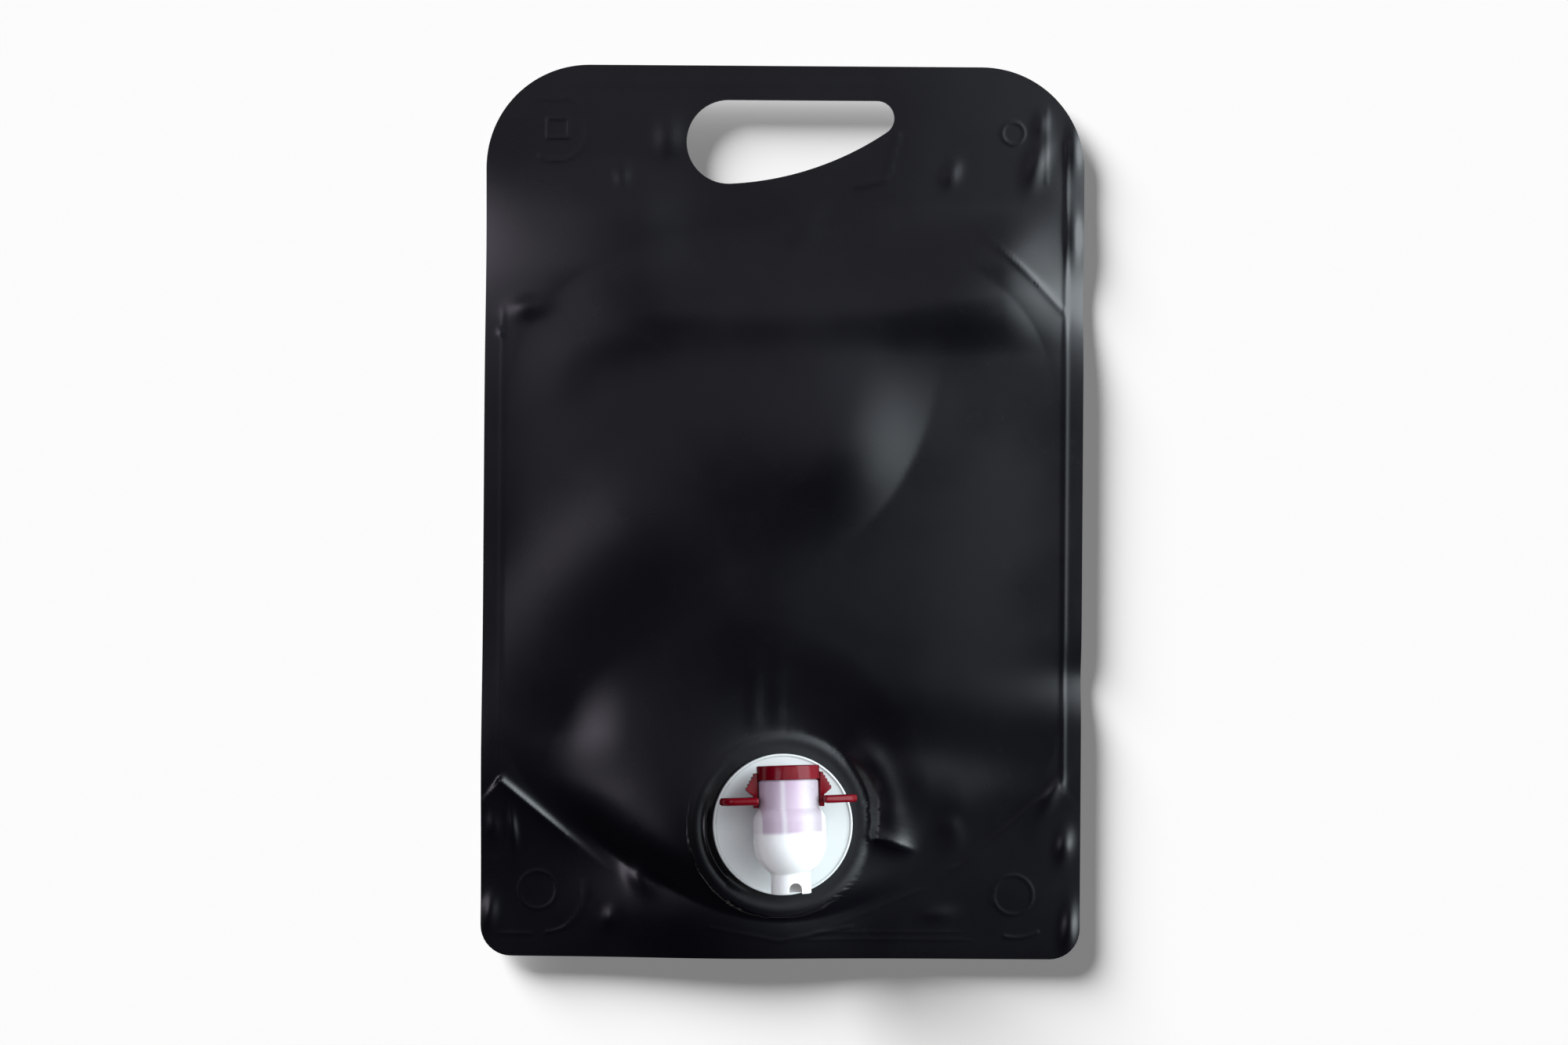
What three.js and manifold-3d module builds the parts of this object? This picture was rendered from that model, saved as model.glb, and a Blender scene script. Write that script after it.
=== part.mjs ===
// An empty stand-up drinks pouch with a carry handle and a press tap, lying on its back.
// Millimetres. +X to the right of the front, +Y towards the handle, +Z out of the front.
// The origin is under the middle of the pouch, on the surface that it lies on.
import * as THREE from "three";
import { mergeVertices } from "three/addons/utils/BufferGeometryUtils.js";
import Module from "manifold-3d";

const wasm = await Module();
wasm.setup();

// Bag outline
const bagWidth = 168;
const bagHeight = 250;
const topCornerRadius = 29;
const bottomCornerRadius = 8.5;

// Film and seals: four plies lie on each other in the welded borders
const filmPly = 0.2;
const sealPlies = 4;
const sealThickness = filmPly * sealPlies;
const sideSealWidth = 5;
const sealPlaneZ = 5.6;

// Bottom gusset: its inner fold, and the U-shaped weld that closes it
const bottomFoldFromEdge = 50;
const bottomWeldKneeX = 43;
const bottomWeldKneeFromEdge = 20;
const bottomWeldLowest = 5.5;

// Top gusset: its inner fold, and the weld that runs under the handle
const topFoldFromEdge = 69.5;
const topWeldShoulderX = 56;
const topWeldShoulderFromEdge = 46.5;
const topWeldFromEdge = 39;
const topWeldHalfFlat = 36;

// Handle hole: a wide end, a narrow end, a straight grip edge and a bowed lower edge
const gripStripHeight = 9.6;
const handleWideRadius = 11.75;
const handleNarrowRadius = 4.85;
const handleWideX = -16;
const handleNarrowX = 25.6;
const handleLowerBow = 86;

// Belly: how far the slack film stands off the seal plane
const bellyRise = 4.4;
const bellyDepth = sealPlaneZ - sealThickness / 2;
const bellyRampLength = 26;
const bellyRampPower = 1.6;
const pocketCornerRounding = 5;
const backRampLength = 15;
const backRampGain = 1.25;
const foldRampLength = 5;
const bossRampLength = 6;
const frontGrid = { columns: 40, rows: 52 };
const backGrid = { columns: 18, rows: 24 };
const gridCrowding = { x: 1.25, y: 1.4 };

// Tap position and how it leans on the soft film
const tapFromBottom = 38;
const tapBossHeight = 10.6;
const tapLeanRight = 8.5;
const tapLeanUp = 5;
const tapTurn = 2;
const tapSettle = 21;

// Gland welded inside the film
const seatGap = 0.3;
const glandFlangeRadius = 24.5;
const glandFlangeThickness = 1.2;
const glandNeckRadius = 18.2;
const glandBoreRadius = 16.4;
const glandNeckAboveFilm = 2.2;
const glandSkirtBelowFilm = 6;
const glandLipRadius = 20.1;
const glandLipThickness = 1;
const bossFilm = 0.5;

// Tap body: plate, spigot, conduit and barrel
const plateRadius = 19.5;
const plateThickness = 1.9;
const plateRimWidth = 0.9;
const plateRimHeight = 0.5;
const spigotWall = 1.5;
const spigotLength = 7.2;
const spigotBeadProud = 0.12;
const conduitRadius = 8.2;
const conduitBore = 6.2;
const barrelAxisAbovePlate = 11.4;
const barrelRadius = 8.2;
const barrelNeckRadius = 7.7;
const barrelTop = 14.6;
const collarSeat = 12.2;
const bulbRadius = 9.95;
const bulbCentre = -4.6;
const bulbStraight = 5.4;
const bulbShoulder = 4.6;
const bulbSteps = 6;
const shoulderSteps = 4;
const spoutRadius = 5.5;
const spoutStart = -13.2;
const spoutEnd = -18.4;
const spoutBore = 4.7;
const chamberRadius = 7.2;
const chamberFloor = -9.4;
const seatHoleRadius = 3.3;
const seatThickness = 1.6;
const spoutNotchWidth = 3.4;
const spoutNotchHeight = 2.9;

// Red wing collar
const collarRadius = 8.6;
const collarTop = 16.3;
const collarLip = 0.7;
const collarLipBore = 6.7;
const sidePlateThickness = 1.3;
const sidePlateBottom = 4.95;
const sidePlateBackAngle = 62;
const sidePlateFrontAngle = 5;
const wingSpan = 38;
const wingThickness = 2.1;
const wingHeight = 6.9;
const wingDepth = 13;
const ribReach = 11.7;
const ribTop = 14.6;
const ribPoint = 9.9;
const ribBottom = 8;
const ribThickness = 2.4;
const ribTeeth = 5;
const ribToothDepth = 0.45;

// Diaphragm, push button and valve
const runningGap = 0.3;
const diaphragmWall = 0.8;
const diaphragmBottom = -2.5;
const diaphragmRim = 0.8;
const buttonRecess = 0.3;
const buttonThickness = 3.2;
const buttonCrown = 0.8;
const buttonGap = 0.35;
const stemRadius = 1.5;
const stemFinReach = 4.6;
const stemFinThickness = 1.1;
const stemFinTop = 2;
const stemFinBottom = -5.5;
const sealRadius = 4.1;
const sealThicknessAxial = 1.7;
const sealNose = 2.4;

// Soft creases of the empty film, as long low bumps: place, half length, half width, turn and height
const billows = [
  { x: 8, y: 57, long: 66, wide: 10, turn: 0, rise: 1.5 },
  { x: -62, y: 42, long: 20, wide: 11, turn: 58, rise: 0.9 },
  { x: -52, y: -14, long: 34, wide: 18, turn: 26, rise: 1.4 },
  { x: 13, y: 7, long: 28, wide: 13, turn: 58, rise: 1.4 },
  { x: -48, y: -61.5, long: 32, wide: 11, turn: 3, rise: -1.6 },
  { x: 46, y: -65, long: 34, wide: 10, turn: -5, rise: -1.6 },
  { x: -84, y: -5, long: 24, wide: 15, turn: 0, rise: -2 },
];

const round = { coarse: 20, fine: 40, ring: 56 };

const material = (color, roughness, extra = {}) =>
  new THREE.MeshStandardMaterial({ color, roughness, metalness: 0, ...extra });
const blackFilm = material(0x1a1b20, 0.34, { side: THREE.DoubleSide });
const whitePlastic = material(0xe4e9ea, 0.32);
const milkyPlastic = material(0xe9e6ee, 0.28, { transparent: true, opacity: 0.9 });
const redPlastic = material(0x8c0a1c, 0.38);
const redRubber = material(0x9a1022, 0.55);

const radians = THREE.MathUtils.degToRad;
const smooth = THREE.MathUtils.smoothstep;

// Solids

function solid(geometry) {
  const bare = geometry.index ? geometry.toNonIndexed() : geometry.clone();
  bare.deleteAttribute("normal");
  bare.deleteAttribute("uv");
  const merged = mergeVertices(bare, 1e-4);
  const { array } = merged.attributes.position;
  const corners = merged.index.array;
  const kept = [];
  for (let i = 0; i < corners.length; i += 3) {
    const [a, b, c] = corners.subarray(i, i + 3);
    if (a !== b && b !== c && c !== a) kept.push(a, b, c);
  }
  const triVerts = new Uint32Array(kept);
  return new wasm.Manifold(new wasm.Mesh({ numProp: 3, vertProperties: array, triVerts }));
}

function namedMesh(name, body, look) {
  const { vertProperties, triVerts } = body.getMesh();
  const geometry = new THREE.BufferGeometry();
  geometry.setAttribute("position", new THREE.BufferAttribute(vertProperties, 3));
  geometry.setIndex(new THREE.BufferAttribute(triVerts, 1));
  geometry.computeVertexNormals();
  const mesh = new THREE.Mesh(geometry, look);
  mesh.name = name;
  return mesh;
}

// A closed ring or plug turned about Z from [radius, height] pairs.
function turned(profile, segments) {
  const points = profile.map(([radius, height]) => new THREE.Vector2(radius, height));
  if (THREE.ShapeUtils.area(points) < 0) points.reverse();
  points.push(points[0].clone());
  const geometry = new THREE.LatheGeometry(points, segments);
  geometry.rotateX(Math.PI / 2);
  return solid(geometry);
}

// The same, about the barrel's axis: Y, at the axis height above the plate's back.
function turnedOnBarrel(profile, segments) {
  return turned(profile, segments).rotate([-90, 0, 0]).translate([0, 0, barrelAxisZ]);
}

function cylinderZ(radius, low, high, segments) {
  return turned([[0, low], [radius, low], [radius, high], [0, high]], segments);
}

function extruded(shape, low, high, curveSegments = 12) {
  const geometry = new THREE.ExtrudeGeometry(shape, {
    depth: high - low,
    bevelEnabled: false,
    curveSegments,
  });
  geometry.translate(0, 0, low);
  return solid(geometry);
}

// Bag outline and handle hole

function bagOutline() {
  const side = bagWidth / 2;
  const end = bagHeight / 2;
  const shape = new THREE.Shape();
  shape.moveTo(-side + bottomCornerRadius, -end);
  shape.lineTo(side - bottomCornerRadius, -end);
  shape.absarc(side - bottomCornerRadius, -end + bottomCornerRadius, bottomCornerRadius, -Math.PI / 2, 0);
  shape.lineTo(side, end - topCornerRadius);
  shape.absarc(side - topCornerRadius, end - topCornerRadius, topCornerRadius, 0, Math.PI / 2);
  shape.lineTo(-side + topCornerRadius, end);
  shape.absarc(-side + topCornerRadius, end - topCornerRadius, topCornerRadius, Math.PI / 2, Math.PI);
  shape.lineTo(-side, -end + bottomCornerRadius);
  shape.absarc(-side + bottomCornerRadius, -end + bottomCornerRadius, bottomCornerRadius, Math.PI, 1.5 * Math.PI);
  return shape;
}

// The lower edge is an arc that touches both end circles from outside of them.
function handleHole() {
  const gripY = bagHeight / 2 - gripStripHeight;
  const wide = new THREE.Vector2(handleWideX, gripY - handleWideRadius);
  const narrow = new THREE.Vector2(handleNarrowX, gripY - handleNarrowRadius);
  const fromWide = handleLowerBow - handleWideRadius;
  const fromNarrow = handleLowerBow - handleNarrowRadius;
  const apart = wide.distanceTo(narrow);
  const along = (fromWide ** 2 - fromNarrow ** 2 + apart ** 2) / (2 * apart);
  const across = Math.sqrt(fromWide ** 2 - along ** 2);
  const unit = narrow.clone().sub(wide).divideScalar(apart);
  const bow = wide.clone().addScaledVector(unit, along);
  bow.add(new THREE.Vector2(-unit.y, unit.x).multiplyScalar(across));
  const wideAngle = Math.atan2(wide.y - bow.y, wide.x - bow.x);
  const narrowAngle = Math.atan2(narrow.y - bow.y, narrow.x - bow.x);
  const shape = new THREE.Shape();
  shape.moveTo(narrow.x, gripY);
  shape.lineTo(wide.x, gripY);
  shape.absarc(wide.x, wide.y, handleWideRadius, Math.PI / 2, wideAngle + 2 * Math.PI);
  shape.absarc(bow.x, bow.y, handleLowerBow, wideAngle, narrowAngle);
  shape.absarc(narrow.x, narrow.y, handleNarrowRadius, narrowAngle, Math.PI / 2);
  return shape;
}

// The pocket: what is left unwelded between the side seals and the two gusset welds. The third number
// says how steeply the film rises from the edge that starts there.

const pocketSide = bagWidth / 2 - sideSealWidth;
const bottomEdge = -bagHeight / 2;
const topEdge = bagHeight / 2;
const pocket = [
  [-pocketSide, topEdge - topFoldFromEdge, 1],
  [-pocketSide, bottomEdge + bottomFoldFromEdge, 1],
  [-bottomWeldKneeX, bottomEdge + bottomWeldKneeFromEdge, 1.1],
  [-bottomWeldKneeX / 2, bottomEdge + (bottomWeldKneeFromEdge + bottomWeldLowest * 2) / 3, 1.3],
  [0, bottomEdge + bottomWeldLowest, 1.3],
  [bottomWeldKneeX / 2, bottomEdge + (bottomWeldKneeFromEdge + bottomWeldLowest * 2) / 3, 1.1],
  [bottomWeldKneeX, bottomEdge + bottomWeldKneeFromEdge, 1],
  [pocketSide, bottomEdge + bottomFoldFromEdge, 0.55],
  [pocketSide, topEdge - topFoldFromEdge, 0.6],
  [topWeldShoulderX, topEdge - topWeldShoulderFromEdge, 0.7],
  [topWeldHalfFlat, topEdge - topWeldFromEdge, 0.7],
  [-topWeldHalfFlat, topEdge - topWeldFromEdge, 0.7],
  [-topWeldShoulderX, topEdge - topWeldShoulderFromEdge, 0.8],
];

// How far a point lies inside the pocket, or 0 on the welds. The pocket's corners are rounded off.
function depthInPocket(x, y) {
  const total = pocket.reduce((sum, [ax, ay, steepness], i) => {
    const [bx, by] = pocket[(i + 1) % pocket.length];
    const inward = ((bx - ax) * (y - ay) - (by - ay) * (x - ax)) / Math.hypot(bx - ax, by - ay);
    return sum + Math.exp((-inward * steepness) / pocketCornerRounding);
  }, 0);
  return Math.max(0, -pocketCornerRounding * Math.log(total));
}

function billow(x, y, { x: cx, y: cy, long, wide, turn, rise }) {
  const along = (x - cx) * Math.cos(radians(turn)) + (y - cy) * Math.sin(radians(turn));
  const across = (y - cy) * Math.cos(radians(turn)) - (x - cx) * Math.sin(radians(turn));
  return rise * Math.exp(-((along / long) ** 2) - (across / wide) ** 2);
}

// Tap placement: its frame has Z out of the film and its origin on top of the film over the gland

const tapY = bottomEdge + tapFromBottom;
const tapFrame = new THREE.Group();
tapFrame.position.set(0, tapY, tapBossHeight);
tapFrame.rotation.set(radians(-tapLeanUp), radians(tapLeanRight), radians(tapTurn), "XYZ");
tapFrame.updateMatrix();
const tapNormal = new THREE.Vector3(0, 0, 1).applyEuler(tapFrame.rotation);
const bossRadius = glandFlangeRadius + 2 * seatGap + bossFilm;
const bossStep = glandFlangeThickness;

// Height of the film's front if the gland held all of it in its own plane.
function bossPlane(x, y) {
  const drop = (x * tapNormal.x + (y - tapY) * tapNormal.y) / tapNormal.z;
  return tapBossHeight - bossStep - drop;
}

function frontHeight(x, y) {
  const depth = depthInPocket(x, y);
  const swell = 1 - Math.exp(-((depth / bellyRampLength) ** bellyRampPower));
  const folds = billows.reduce((sum, one) => sum + billow(x, y, one), 0);
  const foldShare = 1 - Math.exp(-depth / foldRampLength);
  const slack = sealPlaneZ + sealThickness / 2 + swell * bellyRise + foldShare * folds;
  const held = 1 - smooth(Math.hypot(x, y - tapY), bossRadius, bossRadius + tapSettle);
  return THREE.MathUtils.lerp(slack, bossPlane(x, y), held * Math.min(1, depth / bossRampLength));
}

function backHeight(x, y) {
  const swell = 1 - Math.exp(-depthInPocket(x, y) / backRampLength);
  return sealPlaneZ - sealThickness / 2 - Math.min(1, swell * backRampGain) * bellyDepth;
}

// A slab over the bag's rectangle, flat on the seal plane on one side and following height on the other.
// Its grid is finer up the middle and towards the bottom edge, where the tap is.
function slab(grid, height) {
  const margin = 2;
  const width = bagWidth + margin;
  const length = bagHeight + margin;
  const geometry = new THREE.BoxGeometry(width, length, 1, grid.columns, grid.rows, 1);
  const facesUp = height === frontHeight;
  const { position } = geometry.attributes;
  for (let i = 0; i < position.count; i++) {
    const across = (2 * position.getX(i)) / width;
    const up = position.getY(i) / length + 0.5;
    const x = Math.sign(across) * Math.abs(across) ** gridCrowding.x * (width / 2);
    const y = (Math.max(0, up) ** gridCrowding.y - 0.5) * length;
    const moves = position.getZ(i) > 0 === facesUp;
    position.setXYZ(i, x, y, moves ? height(x, y) : sealPlaneZ);
  }
  return solid(geometry);
}

function pouchBody() {
  const cut = bagOutline();
  cut.holes.push(handleHole());
  const reach = 4 * tapBossHeight;
  const boss = cylinderZ(bossRadius, -tapBossHeight / 2, 0, round.ring);
  const flangePocket = cylinderZ(
    glandFlangeRadius + seatGap,
    -bossFilm - glandFlangeThickness - 2 * seatGap,
    -bossFilm,
    round.ring,
  );
  const skirtPocket = cylinderZ(glandNeckRadius + 2 * seatGap, -glandSkirtBelowFilm - seatGap, seatGap, round.ring);
  const inTapFrame = tapFrame.matrix.toArray();
  return slab(frontGrid, frontHeight)
    .add(slab(backGrid, backHeight))
    .intersect(extruded(cut, -reach, reach, 16))
    .add(boss.transform(inTapFrame))
    .subtract(flangePocket.add(skirtPocket).transform(inTapFrame));
}

// Gland

function gland() {
  const flangeTop = -bossFilm - seatGap;
  const flangeBottom = flangeTop - glandFlangeThickness;
  const lipTop = glandNeckAboveFilm - seatGap;
  const lipBottom = lipTop - glandLipThickness;
  return turned(
    [
      [glandBoreRadius, -glandSkirtBelowFilm],
      [glandNeckRadius, -glandSkirtBelowFilm],
      [glandNeckRadius, flangeBottom],
      [glandFlangeRadius, flangeBottom],
      [glandFlangeRadius, flangeTop],
      [glandNeckRadius, flangeTop],
      [glandNeckRadius, lipBottom],
      [glandLipRadius - 0.3, lipBottom],
      [glandLipRadius, lipBottom + 0.3],
      [glandLipRadius, lipTop - 0.3],
      [glandLipRadius - 0.3, lipTop],
      [glandNeckRadius, glandNeckAboveFilm],
      [glandBoreRadius + 0.3, glandNeckAboveFilm],
      [glandBoreRadius, glandNeckAboveFilm - 0.5],
    ],
    round.ring,
  );
}

// Tap body

const plateBack = glandNeckAboveFilm + seatGap;
const plateFront = plateBack + plateThickness;
const barrelAxisZ = plateFront + barrelAxisAbovePlate;
const seatBottom = chamberFloor - seatThickness;

// Half outline of the barrel from the spout's mouth up: a bulb with a round end, then a straight tube.
function barrelOutline() {
  const points = [[spoutRadius, spoutEnd]];
  const endAngle = Math.asin((spoutStart - bulbCentre) / bulbRadius);
  for (let i = 0; i <= bulbSteps; i++) {
    const angle = THREE.MathUtils.lerp(endAngle, 0, i / bulbSteps);
    points.push([
      Math.max(spoutRadius, bulbRadius * Math.cos(angle)),
      bulbCentre + bulbRadius * Math.sin(angle),
    ]);
  }
  const shoulderStart = bulbCentre + bulbStraight;
  for (let i = 0; i <= shoulderSteps; i++) {
    const share = i / shoulderSteps;
    points.push([
      THREE.MathUtils.lerp(bulbRadius, barrelRadius, 1 - Math.sqrt(1 - share ** 2)),
      THREE.MathUtils.lerp(shoulderStart, bulbShoulder, share),
    ]);
  }
  points.push([barrelRadius, collarSeat], [barrelNeckRadius, collarSeat], [barrelNeckRadius, barrelTop]);
  return points;
}

function spoutNotch() {
  const half = spoutNotchWidth / 2;
  const arch = new THREE.Shape();
  arch.moveTo(-half, -1);
  arch.lineTo(half, -1);
  arch.lineTo(half, spoutNotchHeight - half);
  arch.absarc(0, spoutNotchHeight - half, half, 0, Math.PI);
  arch.lineTo(-half, -1);
  return extruded(arch, 0, spoutRadius + 1, 6).translate([0, spoutEnd, barrelAxisZ]);
}

function tapBody() {
  const plate = turned(
    [
      [0, plateBack],
      [plateRadius - 0.3, plateBack],
      [plateRadius, plateBack + 0.3],
      [plateRadius, plateFront + plateRimHeight - 0.3],
      [plateRadius - 0.3, plateFront + plateRimHeight],
      [plateRadius - plateRimWidth + 0.3, plateFront + plateRimHeight],
      [plateRadius - plateRimWidth, plateFront],
      [0, plateFront],
    ],
    round.ring,
  );
  const spigotRadius = glandBoreRadius - seatGap;
  const spigotLow = plateBack - spigotLength;
  const bead = spigotRadius + spigotBeadProud;
  const spigotPoints = [[spigotRadius - spigotWall, spigotLow], [spigotRadius - 0.5, spigotLow]];
  for (const beadZ of [spigotLow + 1.2, spigotLow + 3.2]) {
    spigotPoints.push([spigotRadius, beadZ - 0.4], [bead, beadZ], [spigotRadius, beadZ + 0.4]);
  }
  spigotPoints.push([spigotRadius, plateBack + 0.2], [spigotRadius - spigotWall, plateBack + 0.2]);
  const spigot = turned(spigotPoints, round.ring);
  const conduit = cylinderZ(conduitRadius, plateBack + 0.2, barrelAxisZ, round.fine);
  const outline = barrelOutline();
  const barrel = turnedOnBarrel([[0, spoutEnd], ...outline, [0, barrelTop]], round.fine);
  const chamber = turnedOnBarrel(
    [
      [0, seatBottom - 1],
      [seatHoleRadius, seatBottom - 1],
      [seatHoleRadius, chamberFloor],
      [chamberRadius - 2, chamberFloor],
      [chamberRadius, chamberFloor + 2.4],
      [chamberRadius, barrelTop + 1],
      [0, barrelTop + 1],
    ],
    round.fine,
  );
  const mouth = turnedOnBarrel(
    [
      [0, spoutEnd - 1],
      [spoutBore, spoutEnd - 1],
      [spoutBore, seatBottom - 0.8],
      [seatHoleRadius, seatBottom],
      [0, seatBottom],
    ],
    round.fine,
  );
  const inlet = cylinderZ(conduitBore, plateBack - 1, barrelAxisZ, round.fine);
  return plate
    .add(spigot)
    .add(conduit)
    .add(barrel)
    .subtract(chamber)
    .subtract(mouth)
    .subtract(inlet)
    .subtract(spoutNotch());
}

// Wing collar: ring on the barrel's top, side plates down to the wings, and a serrated rib on each side

function wingPlan() {
  const inner = barrelRadius + seatGap + sidePlateThickness / 2;
  const outer = wingSpan / 2;
  const half = wingDepth / 2;
  const tip = half * 0.72;
  const wing = new THREE.Shape();
  wing.moveTo(inner, -half);
  wing.lineTo(outer - tip, -tip);
  wing.absarc(outer - tip, 0, tip, -Math.PI / 2, Math.PI / 2);
  wing.lineTo(inner, half * 0.6);
  wing.lineTo(inner, -half);
  return wing;
}

function ribOutline() {
  const inner = barrelRadius + seatGap + sidePlateThickness / 2;
  const rib = new THREE.Shape();
  rib.moveTo(inner, ribBottom);
  rib.lineTo(ribReach, ribPoint);
  for (let i = 1; i <= ribTeeth; i++) {
    const toothX = THREE.MathUtils.lerp(ribReach, inner, (i - 1) / ribTeeth);
    const nextX = THREE.MathUtils.lerp(ribReach, inner, i / ribTeeth);
    const crest = THREE.MathUtils.lerp(ribPoint, ribTop, i / ribTeeth);
    rib.lineTo(toothX, crest);
    rib.lineTo(nextX, crest - ribToothDepth);
  }
  rib.lineTo(inner, ribBottom);
  return rib;
}

// A rounded fin: the plan is drawn in the wing's own plane and thinned towards its edge.
function wing() {
  const edge = wingThickness / 3;
  const body = new THREE.ExtrudeGeometry(wingPlan(), {
    depth: wingThickness - 2 * edge,
    bevelEnabled: true,
    bevelThickness: edge,
    bevelSize: edge,
    bevelOffset: -edge,
    bevelSegments: 2,
    curveSegments: 8,
  });
  body.translate(0, 0, edge - wingThickness / 2);
  return solid(body).rotate([-90, 0, 0]).translate([0, wingHeight, barrelAxisZ]);
}

function sidePlate() {
  const inner = barrelRadius + seatGap;
  const outer = inner + sidePlateThickness;
  const plan = new THREE.Shape();
  const back = radians(-sidePlateBackAngle);
  const front = radians(sidePlateFrontAngle);
  plan.absarc(0, 0, outer, back, front);
  plan.absarc(0, 0, inner, front, back, true);
  return extruded(plan, sidePlateBottom, collarSeat + 1, 10)
    .rotate([-90, 0, 0])
    .mirror([0, 0, 1])
    .translate([0, 0, barrelAxisZ]);
}

function wingCollar() {
  const bore = barrelNeckRadius + seatGap;
  const ring = turnedOnBarrel(
    [
      [bore, collarSeat + seatGap],
      [collarRadius, collarSeat + seatGap],
      [collarRadius, collarTop - 0.3],
      [collarRadius - 0.3, collarTop],
      [collarLipBore, collarTop],
      [collarLipBore, collarTop - collarLip],
      [bore, collarTop - collarLip],
    ],
    round.fine,
  );
  const rib = extruded(ribOutline(), -ribThickness / 2, ribThickness / 2).translate([0, 0, barrelAxisZ]);
  const aroundConduit = cylinderZ(conduitRadius + seatGap, plateFront, barrelAxisZ, round.fine);
  const side = sidePlate().add(wing()).add(rib).subtract(aroundConduit);
  return ring.add(side).add(side.mirror([1, 0, 0]));
}

// Diaphragm: a long red sleeve inside the barrel with a rim that the collar clamps

function diaphragm() {
  const outer = chamberRadius - runningGap;
  const inner = outer - diaphragmWall;
  const rimBottom = barrelTop + 0.1;
  const rimTop = rimBottom + diaphragmRim;
  return turnedOnBarrel(
    [
      [inner, diaphragmBottom],
      [outer, diaphragmBottom],
      [outer, rimBottom],
      [barrelNeckRadius, rimBottom],
      [barrelNeckRadius, rimTop],
      [inner, rimTop],
    ],
    round.fine,
  );
}

function pushButton() {
  const radius = chamberRadius - runningGap - diaphragmWall - buttonGap;
  const top = collarTop - buttonRecess;
  const points = [[0, top - buttonThickness], [radius, top - buttonThickness], [radius, top - buttonCrown]];
  const steps = 4;
  for (let i = 1; i < steps; i++) {
    const angle = (i / steps) * (Math.PI / 2);
    points.push([radius * Math.cos(angle), top - buttonCrown * (1 - Math.sin(angle))]);
  }
  points.push([0, top]);
  return turnedOnBarrel(points, round.fine);
}

const buttonUnderside = collarTop - buttonRecess - buttonThickness;
const sealTop = seatBottom - 0.8 - seatGap;

function valveStem() {
  const rod = turnedOnBarrel(
    [
      [0, sealTop + seatGap],
      [stemRadius, sealTop + seatGap],
      [stemRadius, buttonUnderside - seatGap - 1],
      [stemRadius * 2, buttonUnderside - seatGap - 1],
      [stemRadius * 2, buttonUnderside - seatGap],
      [0, buttonUnderside - seatGap],
    ],
    round.coarse,
  );
  const fin = solid(new THREE.BoxGeometry(2 * stemFinReach, stemFinTop - stemFinBottom, stemFinThickness))
    .translate([0, (stemFinTop + stemFinBottom) / 2, 0]);
  return rod
    .add(fin.translate([0, 0, barrelAxisZ]))
    .add(fin.rotate([0, 90, 0]).translate([0, 0, barrelAxisZ]));
}

function valveSeal() {
  return turnedOnBarrel(
    [
      [0, sealTop - sealThicknessAxial - 0.4],
      [sealNose, sealTop - sealThicknessAxial],
      [sealRadius, sealTop - sealThicknessAxial + 0.5],
      [sealRadius, sealTop - 0.6],
      [sealNose + 0.4, sealTop],
      [0, sealTop],
    ],
    round.coarse,
  );
}

// Assembly

const pouch = new THREE.Group();
pouch.add(namedMesh("film_bag", pouchBody(), blackFilm));
tapFrame.add(
  namedMesh("gland", gland(), whitePlastic),
  namedMesh("tap_body", tapBody(), milkyPlastic),
  namedMesh("wing_collar", wingCollar(), redPlastic),
  namedMesh("diaphragm", diaphragm(), redRubber),
  namedMesh("push_button", pushButton(), redRubber),
  namedMesh("valve_stem", valveStem(), whitePlastic),
  namedMesh("valve_seal", valveSeal(), redRubber),
);
pouch.add(tapFrame);

export default pouch;
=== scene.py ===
"""An empty black stand-up pouch with a carry handle and a press tap, lying on its back on a pale floor."""
import math

import bmesh
import bpy
import numpy as np
from mathutils import Euler, Matrix, Vector


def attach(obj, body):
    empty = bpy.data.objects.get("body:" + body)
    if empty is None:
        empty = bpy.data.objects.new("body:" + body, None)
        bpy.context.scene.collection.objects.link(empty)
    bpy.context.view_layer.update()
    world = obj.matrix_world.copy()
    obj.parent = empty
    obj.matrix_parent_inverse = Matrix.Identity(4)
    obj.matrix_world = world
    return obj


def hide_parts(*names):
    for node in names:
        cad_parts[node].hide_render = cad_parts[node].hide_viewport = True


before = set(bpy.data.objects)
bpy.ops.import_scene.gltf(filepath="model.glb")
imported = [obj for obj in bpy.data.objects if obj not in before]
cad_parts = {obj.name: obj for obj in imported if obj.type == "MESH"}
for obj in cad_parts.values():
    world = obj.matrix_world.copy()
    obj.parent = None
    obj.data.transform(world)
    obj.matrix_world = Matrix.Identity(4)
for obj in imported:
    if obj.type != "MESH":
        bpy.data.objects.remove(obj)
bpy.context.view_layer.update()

MM = 0.001  # the script's sizes are in millimetres, Blender's in metres

# Camera: straight down, turned a little so that the pouch leans clockwise in the picture

CAMERA_HEIGHT = 750.0
FRAME_WIDTH = 439.6
CAMERA_PLACE = (0.3, -3.0, CAMERA_HEIGHT + 6.0)
CAMERA_TURN = 0.4
SENSOR = 36.0

camera_data = bpy.data.cameras.new("camera")
camera_data.sensor_width = SENSOR
camera_data.lens = SENSOR * CAMERA_HEIGHT / FRAME_WIDTH
camera_data.clip_start = 0.01
camera_data.clip_end = 20.0
camera = bpy.data.objects.new("camera", camera_data)
bpy.context.collection.objects.link(camera)
camera.location = [value * MM for value in CAMERA_PLACE]
camera.rotation_euler = (0.0, 0.0, math.radians(CAMERA_TURN))
bpy.context.scene.camera = camera

# Sizes of the bag and the tap in millimetres, as the solids have them

HALF_WIDTH = 84.0
HALF_HEIGHT = 125.0
TOP_RADIUS = 29.0
BOTTOM_RADIUS = 8.5
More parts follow.
